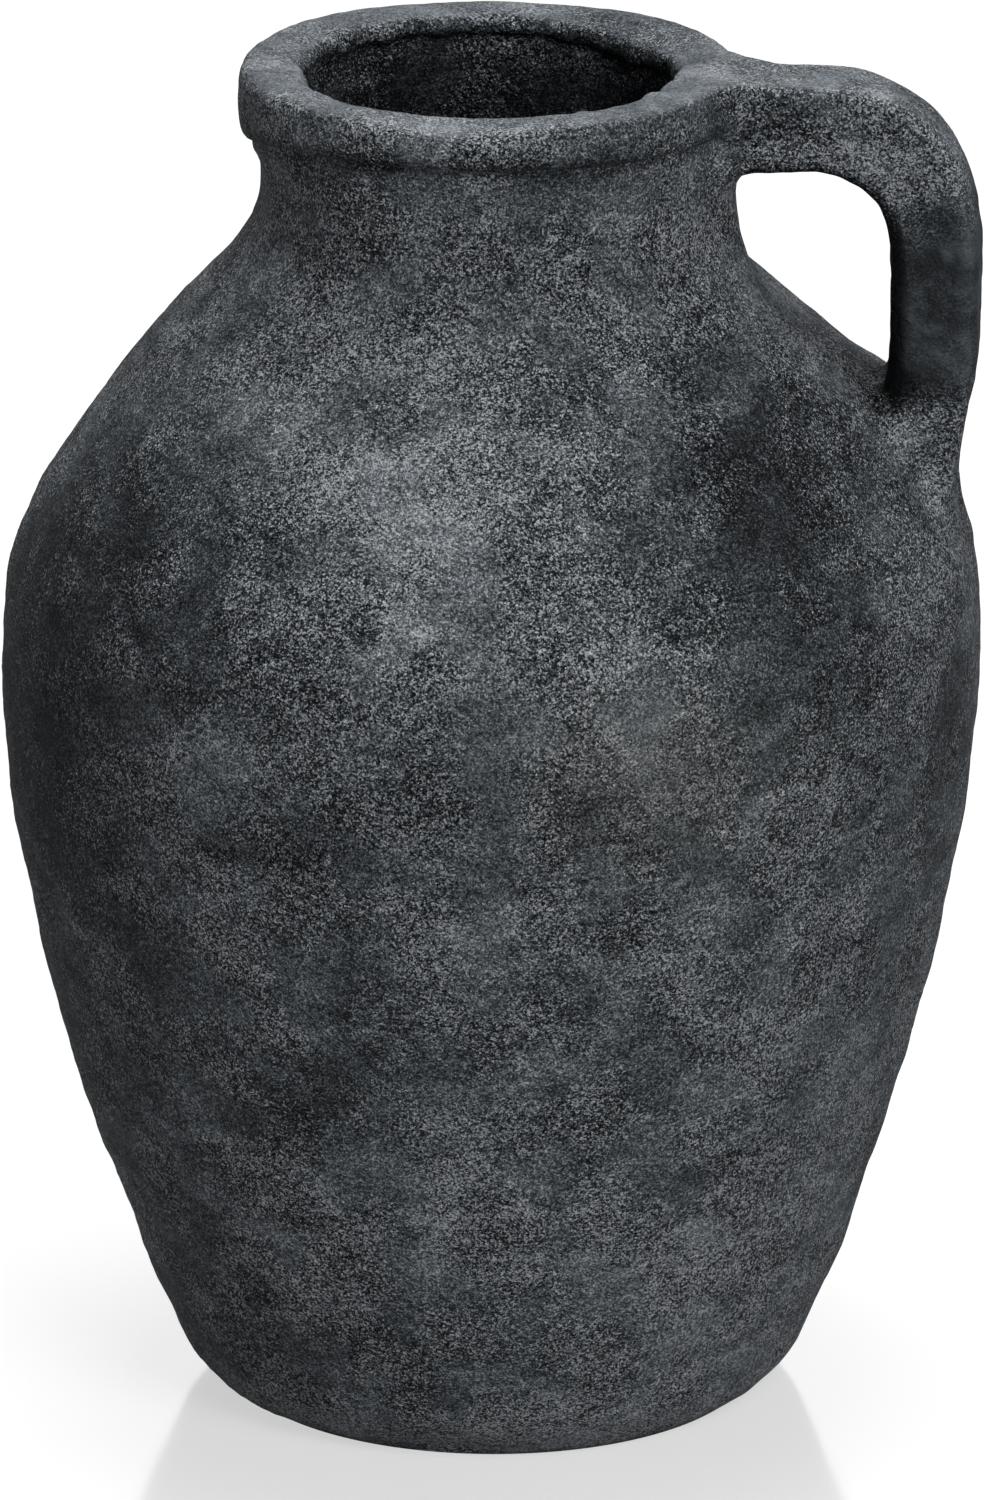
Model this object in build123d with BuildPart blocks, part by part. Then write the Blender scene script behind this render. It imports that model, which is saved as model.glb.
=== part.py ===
# A one-handled wheel-thrown jug in dark, rough earthenware.
# The potter makes it from separate pieces of clay and lutes them together with slip:
# a floor slab, a lower and an upper thrown wall, a neck, a thick rim collar, a coil
# pressed into the inside corner of the floor, a pulled strap handle, and the clay that
# is worked in round both ends of the handle.
# Millimetres, +Z up. The origin is the middle of the underside. The handle is on +X.

import os
from math import atan, ceil, degrees

from build123d import *

# Heights of the outer line, one above the other: the foot to the girth, the girth to
# where the lines of shoulder and neck would meet, and from there to the top of the rim
girth_height = 145.0
shoulder_rise = 82.7
neck_rise = 32.3

# Radii of the outer line, the foot's where its two lines would meet
foot_radius = 51.0
foot_edge_bevel = 2.0
girth_radius = 92.7
neck_radius = 43.4

# Corners of the outer line, as shares of the change in radius and of the rise: from the
# foot to the girth, and from the girth to the neck. Each is rounded off, and its curve
# takes up a share of the shorter of its two sides.
lower_corner_shares = ((0.198, 0.061), (0.4125, 0.2), (1, 0.802))
upper_corner_shares = ((0, 0.258), (0.562, 0.729))
outer_round_shares = (0.55, 0.48, 0.5, 0.27, 0.22, 0.75, 0.25)

# The rounds are turned in straight bands, each at most this many degrees from the next
outer_band_turn = 14.0
inner_band_turn = 40.0

# Wall, measured level, and floor. The inside is turned in fewer, plainer bands.
wall = 7.5
floor_thickness = 9.0
inner_round_shares = (0, 0, 0.25, 0.5)

# Heights of the level seams where the thrown sections are scored and luted: above the
# floor, below the girth and below the neck's corner
floor_seam_rise = 6.0
girth_seam_drop = 0.0
neck_seam_drop = 10.0

# Coil pressed into the corner of the floor: its reach along floor and wall
floor_coil_reach = 7.0

# Rim collar: a band set on the flared top of the neck, with an upright side over a small
# undercut, a socket for the top of the neck and an undercut mouth
collar_overhang = 3.9
collar_height = 10.4
collar_undercut = 1.3
lip_round_share = 0.28
collar_band_turn = 30.0
rim_width = 12.8
mouth_bevel = 1.2
mouth_land = 4.0
socket_depth = 4.2

# Flare of the neck under the collar: how far below the collar it starts, and how far it
# reaches out
flare_rise = 8.0
flare_spread = 2.8

# Strap handle: its root leaves the collar level, and its tail runs into the shoulder
strap_width = 18.0
root_thickness = 16.8
tail_thickness = 16.4
strap_edge_round = 3.6
strap_drop = 0.9
handle_setback = 0.2
bend_round = 26.0
knee_round = 60.0
knee_share = 0.49
tail_share = 0.6
tail_tuck = 8.7

# Clay worked in round the root of the handle: a plate that flares towards the collar,
# and a thin fin that runs down the neck under the strap
plate_reach = 13.0
plate_spread = 5.0
fin_depth = 2.1
fin_round = 6.0
fin_spread = 2.0

# Clay smoothed on to the shoulder round the tail, and how proud its edges lie
tail_luting_reach = 33.0
tail_luting_spread = 6.0
luting_skin = 0.5

# How far a cutting shape runs past what it cuts
overrun = 5.0

os.makedirs("parts", exist_ok=True)

overall_height = girth_height + shoulder_rise + neck_rise
collar_radius = neck_radius + collar_overhang
collar_base = overall_height - collar_height
flare_radius = neck_radius + flare_spread
mouth_radius = collar_radius - rim_width
neck_top = collar_base + socket_depth


def points_between(start, end, shares):
    """The points at the given shares of the way in X and in Y from start to end."""
    span = end - start
    return [start + Vector(span.X * across, span.Y * along) for across, along in shares]


def rounded_line(corners, shares, band_turn):
    """A line whose corners are rounded in bands, over a share of their shorter side."""
    points = [corners[0]]
    for before, corner, after, share in zip(corners, corners[1:], corners[2:], shares):
        back, on = before - corner, after - corner
        reach = share * min(back.length, on.length)
        start = corner + back.normalized() * reach
        end = corner + on.normalized() * reach
        bands = ceil((corner - before).get_angle(on) / band_turn)
        for t in [i / bands for i in range(bands + 1)] if share else [0]:
            points.append(start * (1 - t) ** 2 + corner * 2 * t * (1 - t) + end * t**2)
    return Polyline(*points, corners[-1])


# Outer line of the wall, from the edge of the foot to the flare under the collar
foot_point = Vector(foot_radius, 0)
girth_point = Vector(girth_radius, girth_height)
neck_corner = Vector(neck_radius, girth_height + shoulder_rise)
knee, shin, girth_corner = points_between(foot_point, girth_point, lower_corner_shares)
shoulder_corner, slope_corner = points_between(
    girth_point, neck_corner, upper_corner_shares
)
outer_corners = [
    foot_point,
    knee,
    shin,
    girth_corner,
    shoulder_corner,
    slope_corner,
    neck_corner,
    Vector(neck_radius, collar_base - flare_rise),
    Vector(flare_radius, collar_base),
]
outer_line = rounded_line(outer_corners, outer_round_shares, outer_band_turn)

# Inner line, from the corner of the floor to the top of the neck
inset = Vector(wall, 0)
inner_rise = (shin - foot_point).normalized()
floor_corner = foot_point - inset + inner_rise * (floor_thickness / inner_rise.Y)
inner_corners = [floor_corner] + [
    corner - inset
    for corner in (shin, girth_corner, shoulder_corner, neck_corner)
]
inner_corners.append(Vector(neck_radius - wall, neck_top))

# Everything inside the outer face of the wall
with BuildSketch(Plane.XZ) as filled_section:
    with BuildLine():
        add(outer_line)
        Polyline(
            outer_corners[-1],
            (neck_radius, collar_base),
            (neck_radius, neck_top),
            (0, neck_top),
            (0, 0),
            foot_point,
        )
    make_face()
    chamfer(filled_section.vertices().sort_by_distance(foot_point)[0], foot_edge_bevel)

# The hollow over the floor
with BuildSketch(Plane.XZ) as hollow_section:
    with BuildLine():
        rounded_line(inner_corners, inner_round_shares, inner_band_turn)
        Polyline(inner_corners[-1], (0, neck_top), (0, floor_thickness), floor_corner)
    make_face()


def level(height):
    """A plain line from the axis outwards."""
    return [(0, height), (girth_radius + overrun, height)]


def wall_between(bottom, top):
    """The section of the wall between two lines, which a piece is turned from."""
    with BuildSketch() as section:
        add(filled_section.sketch_local)
        add(hollow_section.sketch_local, mode=Mode.SUBTRACT)
        with BuildLine():
            Polyline(*bottom, *reversed(top), close=True)
        make_face(mode=Mode.INTERSECT)
    return section.sketch


floor_seam = level(floor_thickness + floor_seam_rise)
girth_seam = level(girth_height - girth_seam_drop)
neck_seam = level(neck_corner.Y - neck_seam_drop)

# Floor slab, with its edge turned up to meet the wall
with BuildPart() as floor_disc:
    with BuildSketch(Plane.XZ):
        add(wall_between(level(-overrun), floor_seam))
    revolve(axis=Axis.Z)

# Lower wall, up to just under the girth
with BuildPart() as lower_body:
    with BuildSketch(Plane.XZ):
        add(wall_between(floor_seam, girth_seam))
    revolve(axis=Axis.Z)

# Upper wall: the girth and the shoulder
with BuildPart() as upper_body:
    with BuildSketch(Plane.XZ):
        add(wall_between(girth_seam, neck_seam))
    revolve(axis=Axis.Z)

# Neck, whose top stands in the socket of the rim collar
with BuildPart() as neck:
    with BuildSketch(Plane.XZ):
        add(wall_between(neck_seam, level(overall_height)))
    revolve(axis=Axis.Z)

# Coil pressed into the corner between the floor and the wall
with BuildPart() as floor_seam_coil:
    with BuildSketch(Plane.XZ):
        wall_rise = (inner_corners[1] - floor_corner).normalized()
        coil_toe = floor_corner - Vector(floor_coil_reach, 0)
        coil_top = floor_corner + wall_rise * floor_coil_reach
        with BuildLine():
            Polyline(coil_toe, coil_top, floor_corner, close=True)
        make_face()
    revolve(axis=Axis.Z)

# Rim collar: a thick band that caps the neck, with an undercut mouth
with BuildSketch(Plane.XZ) as collar_section:
    side_foot = Vector(collar_radius, collar_base + collar_undercut)
    rim_edge = Vector(collar_radius, overall_height)
    mouth_edge = Vector(mouth_radius, overall_height)
    with BuildLine():
        rounded_line([side_foot, rim_edge, mouth_edge], [lip_round_share], collar_band_turn)
        Polyline(
            mouth_edge,
            (mouth_radius, overall_height - mouth_land),
            (neck_radius - wall, neck_top),
            (neck_radius, neck_top),
            (neck_radius, collar_base),
            (flare_radius, collar_base),
            side_foot,
        )
    make_face()
    chamfer(collar_section.vertices().sort_by_distance(mouth_edge)[0], mouth_bevel)

with BuildPart() as rim_collar:
    with BuildSketch(Plane.XZ):
        add(collar_section.sketch_local)
    revolve(axis=Axis.Z)

# Everything inside the outer face of the jug, which the handle and its clay fit against
with BuildPart() as jug_form:
    with BuildSketch(Plane.XZ):
        add(filled_section.sketch_local)
        add(collar_section.sketch_local)
        Rectangle(neck_radius, overall_height, align=(Align.MIN, Align.MIN))
    revolve(axis=Axis.Z)

# Side view of the strap: out from the collar, round the bend and down into the shoulder
strap_top = overall_height - strap_drop
strap_under = strap_top - root_thickness
strap_out = girth_radius - handle_setback
strap_in = strap_out - tail_thickness
tail_end = outer_line @ tail_share - Vector(tail_tuck, 0)
knee_height = tail_end.Y + (strap_top - tail_end.Y) * knee_share
with BuildSketch(Plane.XZ) as strap_side:
    with BuildLine():
        FilletPolyline(
            (mouth_radius, strap_top),
            (strap_out, strap_top),
            (strap_out, knee_height),
            tail_end,
            radius=(bend_round, knee_round),
        )
        FilletPolyline(
            (mouth_radius, strap_under),
            (strap_in, strap_under),
            (strap_in, knee_height),
            tail_end - Vector(tail_thickness, 0),
            radius=(bend_round - tail_thickness, knee_round - tail_thickness),
        )
        Line(tail_end, tail_end - Vector(tail_thickness, 0))
        Line((mouth_radius, strap_top), (mouth_radius, strap_under))
    make_face()

# Strap handle, with its long edges rounded
with BuildPart() as handle:
    with BuildSketch(Plane.XZ.offset(-strap_width / 2)):
        add(strap_side.sketch_local)
    extrude(amount=strap_width)
    flanks = handle.faces().sort_by(Axis.Y)
    root_end = handle.faces().sort_by(Axis.X)[0]
    tail_face = handle.faces().sort_by(Axis.Z)[0]
    flank_edges = flanks[0].edges() + flanks[-1].edges()
    fillet(flank_edges - root_end.edges() - tail_face.edges(), strap_edge_round)
    add(jug_form.part, mode=Mode.SUBTRACT)

# Clay round the root: a plate flush with the strap, and the fin under it
with BuildPart() as upper_handle_luting:
    plate_end = collar_radius + plate_reach
    half_strap = strap_width / 2
    with BuildSketch(Plane.XY.offset(strap_under)):
        with BuildLine():
            flank = TangentArc(
                (plate_end, half_strap + luting_skin),
                (collar_radius, half_strap + plate_spread),
                tangent=(-1, 0),
            )
            Polyline(flank @ 1, (mouth_radius, half_strap + plate_spread), (mouth_radius, 0))
            Line((plate_end, 0), flank @ 0)
            mirror(about=Plane.XZ)
        make_face()
    extrude(amount=root_thickness)
    with BuildSketch(Plane.XZ.offset(-half_strap - fin_spread)):
        fin_edge = neck_radius + fin_depth
        fin_top = strap_under + strap_edge_round
        with BuildLine():
            arch = TangentArc(
                (fin_edge + fin_round, strap_under),
                (fin_edge, strap_under - fin_round),
                tangent=(-1, 0),
            )
            Polyline(
                arch @ 1,
                (fin_edge, neck_corner.Y),
                (mouth_radius, neck_corner.Y),
                (mouth_radius, fin_top),
                (fin_edge + fin_round, fin_top),
                arch @ 0,
            )
        make_face()
    extrude(amount=2 * (half_strap + fin_spread))
    add(jug_form.part, mode=Mode.SUBTRACT)
    add(handle.part, mode=Mode.SUBTRACT)

# Clay round the tail, which thins out upwards along the strap
with BuildPart() as lower_handle_luting:
    tail_middle = tail_end - Vector(tail_thickness / 2, 0)
    knee_middle = Vector(strap_out - tail_thickness / 2, knee_height)
    strap_rise = (knee_middle - tail_middle).normalized()
    tail_plane = Plane(
        (tail_middle.X, 0, tail_middle.Y),
        x_dir=(0, 1, 0),
        z_dir=(strap_rise.X, 0, strap_rise.Y),
    )
    with BuildSketch(tail_plane):
        RectangleRounded(
            strap_width + 2 * tail_luting_spread,
            tail_thickness + 2 * tail_luting_spread,
            strap_edge_round + tail_luting_spread,
        )
    extrude(
        amount=tail_luting_reach,
        taper=degrees(atan((tail_luting_spread - luting_skin) / tail_luting_reach)),
    )
    add(jug_form.part, mode=Mode.SUBTRACT)
    add(handle.part, mode=Mode.SUBTRACT)

pieces = {
    "floor_disc": floor_disc,
    "floor_seam_coil": floor_seam_coil,
    "lower_body": lower_body,
    "upper_body": upper_body,
    "neck": neck,
    "rim_collar": rim_collar,
    "handle": handle,
    "upper_handle_luting": upper_handle_luting,
    "lower_handle_luting": lower_handle_luting,
}
for name, piece in pieces.items():
    piece.part.label = name
    export_step(piece.part, f"parts/{name}.step")
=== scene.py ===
from math import cos, pi, radians, sin

import bpy
import numpy as np
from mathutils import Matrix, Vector


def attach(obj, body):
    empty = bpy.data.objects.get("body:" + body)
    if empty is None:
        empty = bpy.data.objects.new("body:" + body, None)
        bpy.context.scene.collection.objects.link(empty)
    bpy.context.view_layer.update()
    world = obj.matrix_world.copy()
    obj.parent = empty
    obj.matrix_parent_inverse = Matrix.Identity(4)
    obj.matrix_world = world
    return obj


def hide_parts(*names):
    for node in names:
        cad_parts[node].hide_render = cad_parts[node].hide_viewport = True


# A one-handled jug of coarse charcoal clay. Lengths are in millimetres and are scaled to
# metres where a mesh is made. Z is up, the handle is on +X and the front is -Y. A turn is
# an angle in degrees round the jug, from the handle towards the back.
MM = 0.001

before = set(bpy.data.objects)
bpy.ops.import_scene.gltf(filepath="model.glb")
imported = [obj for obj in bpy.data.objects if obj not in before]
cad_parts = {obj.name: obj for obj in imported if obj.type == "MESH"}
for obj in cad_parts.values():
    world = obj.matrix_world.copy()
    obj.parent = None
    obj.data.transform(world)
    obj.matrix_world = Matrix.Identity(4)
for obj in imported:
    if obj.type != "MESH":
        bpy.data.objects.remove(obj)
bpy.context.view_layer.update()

# Places where the pieces meet, as in the CAD model
FLOOR_SEAM = 15.0
GIRTH_SEAM = 145.0
NECK_SEAM = 217.7
COLLAR_SEAM = 249.6
RIM_HEIGHT = 260.0
FLOOR_TOP = 9.0
WALL = 7.5
NECK_WAIST = 237.5

# Mesh steps: columns round the jug, rows along the outside, the neck and the inside, and
# points in a quarter turn of a rounded corner
COLUMNS = 400
OUTER_STEP = 1.5
NECK_STEP = 0.8
INNER_STEP = 5.0
CORNER_POINTS = 6
SHARP_ANGLE = 50

# How many points are worked on at a time, and a length that counts as nothing
NOISE_BATCH = 60000
STRAP_BATCH = 20000
TINY = 1e-9

# The outer wall, as height and radius, measured along both sides of the photograph
WALL_LINE = (
    *((0, 49.6), (3.5, 54.2), (7.8, 58.2), (13.9, 61.4), (23.4, 65.4), (39, 70.9)),
    *((65, 79.0), (91, 85.6), (117, 90.4), (136.9, 92.5), (151.7, 92.4), (164.7, 90.6)),
    *((175.9, 85.7), (187.2, 78.6), (197.6, 71.2), (208, 62.9), (215.8, 55.3)),
    *((221.9, 49.7), (227.1, 46.1), (232.3, 44.1), (237.5, 43.4), (242.7, 43.5)),
    *((247.2, 44.2), (249.6, 44.6)),
)


def steady_curve(places, values):
    """A smooth curve through values at places: returns functions for value and slope."""
    places, values = np.array(places, float), np.array(values, float)
    slopes = np.gradient(values, places)

    def parts(at):
        at = np.clip(at, places[0], places[-1])
        index = np.clip(np.searchsorted(places, at) - 1, 0, len(places) - 2)
        span = places[index + 1] - places[index]
        return index, span, (at - places[index]) / span

    def value(at):
        index, span, t = parts(at)
        return (
            (1 + 2 * t) * (1 - t) ** 2 * values[index]
            + t * (1 - t) ** 2 * span * slopes[index]
            + t**2 * (3 - 2 * t) * values[index + 1]
            + t**2 * (t - 1) * span * slopes[index + 1]
        )

    def slope(at):
        index, span, t = parts(at)
        return (
            6 * t * (t - 1) * (values[index] - values[index + 1]) / span
            + (1 - t) * (1 - 3 * t) * slopes[index]
            + t * (3 * t - 2) * slopes[index + 1]
        )

    return value, slope


wall_radius, wall_slope = steady_curve(*zip(*WALL_LINE))


def inner_radius(height):
    """The radius of the wall's inner face."""
    return wall_radius(np.minimum(height, NECK_WAIST)) - WALL


def share_of(value, start, end):
    """How far value has come from start to end, up or down, from 0 to 1."""
    return np.clip((value - start) / (end - start), 0, 1)


def eased(value, start, end):
    """How far value has come from start to end, slowed down at both ends."""
    share = share_of(value, start, end)
    return share * share * (3 - 2 * share)


def bell(value, middle, width):
    """1 in the middle, and falling off smoothly on both sides."""
    return np.exp(-(((value - middle) / width) ** 2))


def patch(angle, around, z, turn, height, wide, tall):
    """A soft place on the jug: 1 at its middle, falling off over its half sizes."""
    aside = ((angle - radians(turn) + pi) % (2 * pi) - pi) * around
    return bell(aside, 0, wide) * bell(z, height, tall)


# Unevenness of hand-made clay


def clay_noise(seed, longest, shortest, waves=64):
    """A smooth random height, about -1 to 1, with features between two lengths."""
    draw = np.random.default_rng(seed)
    heading = draw.normal(size=(waves, 3))
    heading /= np.linalg.norm(heading, axis=1)[:, None]
    length = longest * (shortest / longest) ** draw.random(waves)
    reach = 2 * pi * heading / length[:, None]
    phase = draw.uniform(0, 2 * pi, waves)
    loudness = np.sqrt(length / longest)
    loudness /= np.sqrt((loudness**2).sum() / 2)

    def height(points):
        flat = points.reshape(-1, 3)
        total = np.empty(len(flat))
        for start in range(0, len(flat), NOISE_BATCH):
            part = slice(start, start + NOISE_BATCH)
            total[part] = np.cos(flat[part] @ reach.T + phase) @ loudness
        return total.reshape(points.shape[:-1])

    return height


dents = clay_noise(seed=3, longest=110, shortest=45, waves=24)
lumps = clay_noise(seed=11, longest=30, shortest=12)
dimples = clay_noise(seed=17, longest=10, shortest=4.5)
grain = clay_noise(seed=23, longest=4.5, shortest=2.6, waves=48)
ragged = clay_noise(seed=31, longest=16, shortest=3.5)

# How far each kind of unevenness stands out, on the jug and on the pulled strap
JUG_NOISES = ((dents, 0.24), (lumps, 0.12), (dimples, 0.06), (grain, 0.035))
STRAP_NOISES = (
    (clay_noise(seed=29, longest=34, shortest=14, waves=40), 0.16),
    (dimples, 0.06),
    (grain, 0.03),
)

# Throwing rings: the height of each ridge and how far it stands out, and how wide they
# are, climb, waver and fade round the jug. Their waves are turned from ring to ring, in
# radians.
RINGS = (
    *((7.2, 0.15), (28.2, 0.34), (50.2, 0.24), (65.3, 0.2), (88.5, 0.22)),
    *((118, 0.2), (139, 0.12), (161, 0.14), (178, 0.12), (196, 0.1)),
)
RING_WIDTH = 5.5
RING_CLIMB = 1.6
RING_WAVER = 0.7
RING_WAVER_TURN = 2.3
RING_FADE = 0.25
RING_FADE_TURN = 1.7

# Places near the handle where the clay was drawn down or heaped up by hand: turn, height,
# half width, half height, and how far the clay stands out
WORKED = (
    (14, 217, 18, 9, -2.3),
    (9, 193, 19, 9, 2.8),
    (0, 169, 14, 11, 1.0),
    (-9, 178, 9, 12, 0.5),
    (-22, 196, 6, 12, -0.5),
    (14, 192, 9, 6, 1.8),
)


def unevenness(points):
    """How far the clay of the jug stands out from its ideal surface."""
    x, y, z = points[..., 0], points[..., 1], points[..., 2]
    around, angle = np.hypot(x, y), np.arctan2(y, x)
    total = sum(rise * noise(points) for noise, rise in JUG_NOISES)
    for number, (height, rise) in enumerate(RINGS):
        waver = np.sin(3 * angle + RING_WAVER_TURN * number)
        middle = height + RING_CLIMB * np.sin(angle + number) + RING_WAVER * waver
        fade = 1 - RING_FADE + RING_FADE * np.sin(2 * angle + RING_FADE_TURN * number)
        total += rise * fade * bell(z, middle, RING_WIDTH)
    for *place, rise in WORKED:
        total += rise * patch(angle, around, z, *place)
    return total


def strap_unevenness(points):
    """How far the pulled strap stands out from its ideal surface."""
    return sum(rise * noise(points) for noise, rise in STRAP_NOISES)


# How the whole soft jug leaned and sagged. Pairs say where a movement starts and where it
# is full. FRONT_TURN and OVAL_TURN are in radians.
FRONT_TURN = 0.08
# The rim lifts towards the front
RIM_LIFT = 0.35
RIM_HEIGHTS = (215, RIM_HEIGHT)
RIM_RADII = (0, 40)
# The rim's edge slumps at the middle of the front
SLUMP = 1.5
SLUMP_TURN = -94
SLUMP_SPREAD = 15
SLUMP_RADII = (37, 47)
SLUMP_HEIGHTS = (253, RIM_HEIGHT)
# The collar's foot droops at the left and lifts at the front
FOOT_DROOP = 7.0
FOOT_LIFT = 2.4
FOOT_HEIGHT = 248.5
FOOT_SPREAD = 5
FOOT_RADII = (40, 43)
# The mouth sits forward of the middle and slopes in at the back right
MOUTH_FORWARD = 2.6
MOUTH_SLOPE = 1.9
MOUTH_TURN = 38
MOUTH_NARROWS = 6
MOUTH_RADII = (42, 36)
MOUTH_HEIGHTS = (252, 255)
# The whole jug is slightly oval
OVAL = 0.003
OVAL_TURN = 0.9
# The axis wanders to the right: height and how far
LEAN = ((0, 0.6), (32, 0.6), (60, 0.1), (130, 0), (152, 0.4), (178, 0.1), (RIM_HEIGHT, 0))


def front_share(angle):
    """How far a place is round towards the front, from 0 at the back to 1."""
    return 0.5 - 0.5 * np.sin(angle + FRONT_TURN)


def foot_drop(angle):
    """How far the foot of the collar hangs below its seam, round the jug."""
    front = front_share(angle)
    left = 0.5 - 0.5 * np.cos(angle)
    return FOOT_DROOP * left**4 * (1 - front**2) - FOOT_LIFT * front**3


def settled(points):
    """Points of the ideal jug, moved as the whole soft jug leaned and sagged."""
    x, y, z = points[..., 0], points[..., 1], points[..., 2]
    around, angle = np.hypot(x, y), np.arctan2(y, x)
    front = front_share(angle)
    drop = -RIM_LIFT * front * eased(z, *RIM_HEIGHTS) * share_of(around, *RIM_RADII)
    slump = bell(angle, radians(SLUMP_TURN), radians(SLUMP_SPREAD))
    drop += SLUMP * slump * eased(around, *SLUMP_RADII) * eased(z, *SLUMP_HEIGHTS)
    foot = bell(z, FOOT_HEIGHT, FOOT_SPREAD) * share_of(around, *FOOT_RADII)
    drop += foot * foot_drop(angle)
    mouth = eased(around, *MOUTH_RADII) * eased(z, *MOUTH_HEIGHTS)
    back_right = np.clip(np.cos(angle - radians(MOUTH_TURN)), 0, 1) ** MOUTH_NARROWS
    drop += MOUTH_SLOPE * mouth * back_right
    stretch = 1 + OVAL * np.cos(2 * angle + OVAL_TURN)
    right = x * stretch + np.interp(z, *zip(*LEAN))
    back = y * stretch - MOUTH_FORWARD * mouth * front**2
    return np.stack([right, back, z - drop], -1)


def new_piece(name, points, faces):
    """A mesh object from points in millimetres, named for its CAD node."""
    mesh = bpy.data.meshes.new(name + "_clay")
    mesh.from_pydata((points * MM).tolist(), [], faces)
    mesh.shade_smooth()
    mesh.set_sharp_from_angle(angle=radians(SHARP_ANGLE))
    mesh.update()
    piece = bpy.data.objects.new(name + "_clay", mesh)
    bpy.context.scene.collection.objects.link(piece)
    return piece


# Turned pieces: how uneven the inside is beside the outside, where the points of the floor
# lie as shares of its radius, and the sizes of the coil in its corner
INNER_SHARE = 0.6
UNDER_SHARES = (0, 0.35, 0.7, 0.93)
FLOOR_SHARES = (0.7, 0.35, 0)
FLOOR_MARGIN = 2
COIL_SIZE = 6.3
COIL_LIFT = 0.1
COIL_SINK = 0.2
COIL_BACK = 2.6
COIL_HEEL = 1

# The column of a section that holds how uneven its points are
AMOUNT = 4


def run(heights, radii, facing, amount, torn=0.0):
    """Points of a section: radius, height, facing, unevenness and raggedness."""
    heights, radii = np.asarray(heights, float), np.asarray(radii, float)
    one = np.ones(len(heights))
    facing = np.asarray(facing, float).reshape(-1, 2) * one[:, None]
    facing = facing / np.linalg.norm(facing, axis=1)[:, None]
    return np.column_stack([radii, heights, facing, one * amount, one * torn])


def steps(start, end, step):
    """Evenly spaced heights from start to end, both included."""
    return np.linspace(start, end, max(2, int(abs(end - start) / step) + 1))


def outer_run(bottom, top, step=OUTER_STEP):
    """The outside of the wall between two heights, upwards."""
    heights = steps(bottom, top, step)
    facing = np.column_stack([np.ones(len(heights)), -wall_slope(heights)])
    return run(heights, wall_radius(heights), facing, 1)


def inner_run(top, bottom):
    """The inside of the wall between two heights, downwards."""
    heights = steps(top, bottom, INNER_STEP)
    return run(heights, inner_radius(heights), (-1, 0), INNER_SHARE)


def wall_between(bottom, top, step=OUTER_STEP):
    """Both faces of the wall between two seams."""
    return outer_run(bottom, top, step), inner_run(top, bottom)


def turned(name, *runs):
    """A piece turned from a closed section. Radius 0 closes it on the axis."""
    section = np.vstack(runs)
    radii, heights, across, up, amount, torn = section.T
    angle = np.arange(COLUMNS) * 2 * pi / COLUMNS
    c, s = np.cos(angle)[:, None], np.sin(angle)[:, None]
    base = np.stack([c * radii, s * radii, np.ones_like(c) * heights], -1)
    facing = np.stack([c * across, s * across, np.ones_like(c) * up], -1)
    shift = unevenness(base) * amount + ragged(base) * torn
    points = settled(base + facing * shift[..., None]).reshape(-1, 3)
    rows = len(section)
    on_axis = [row for row in (0, rows - 1) if radii[row] == 0]
    column = np.arange(COLUMNS)
    after = (column + 1) % COLUMNS
    faces = []
    for row in range(rows if not on_axis else rows - 1):
        above = (row + 1) % rows
        low, low_after = column * rows + row, after * rows + row
        high, high_after = column * rows + above, after * rows + above
        if row in on_axis:
            low[:] = row
            faces += np.column_stack([low, high_after, high]).tolist()
        elif above in on_axis:
            high[:] = above
            faces += np.column_stack([low, low_after, high]).tolist()
        else:
            faces += np.column_stack([low, low_after, high_after, high]).tolist()
    if on_axis:
        used = np.unique(np.concatenate([np.array(face) for face in faces]))
        place = np.zeros(len(points), int)
        place[used] = np.arange(len(used))
        points = points[used]
        faces = [place[face].tolist() for face in faces]
    return new_piece(name, points, faces)


def floor_sections():
    """The sections of the floor and of the coil pressed into its corner."""
    foot, corner = float(wall_radius(0)), float(inner_radius(FLOOR_TOP))
    under = run([0] * len(UNDER_SHARES), foot * np.array(UNDER_SHARES), (0, -1), 0)
    wall_foot = outer_run(0, FLOOR_SEAM)
    wall_foot[0, AMOUNT] = 0
    radii = [corner - FLOOR_MARGIN, *(corner * np.array(FLOOR_SHARES))]
    top = run([FLOOR_TOP] * len(radii), radii, (0, 1), 0)
    bend = np.linspace(0, pi / 2, CORNER_POINTS)
    coil = run(
        FLOOR_TOP + COIL_LIFT + COIL_SIZE * (1 - np.cos(bend)),
        corner - COIL_SIZE * (1 - np.sin(bend)),
        np.column_stack([-np.cos(bend), np.sin(bend)]),
        0,
    )
    back = run(
        [FLOOR_TOP + COIL_SIZE, FLOOR_TOP - COIL_SINK],
        [corner + COIL_BACK, corner + COIL_HEEL],
        (1, 0),
        0,
    )
    return (under, wall_foot, inner_run(FLOOR_SEAM, FLOOR_TOP), top), (coil, back)


def make_turned_pieces():
    """The floor, the coil in its corner, both walls, the neck and the rim collar."""
    floor, coil = floor_sections()
    sections = {
        "floor_disc": floor,
        "floor_seam_coil": coil,
        "lower_body": wall_between(FLOOR_SEAM, GIRTH_SEAM),
        "upper_body": wall_between(GIRTH_SEAM, NECK_SEAM),
        "neck": wall_between(NECK_SEAM, COLLAR_SEAM, NECK_STEP),
        "rim_collar": (collar_section(),),
    }
    return {name: turned(name, *section) for name, section in sections.items()}


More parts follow.
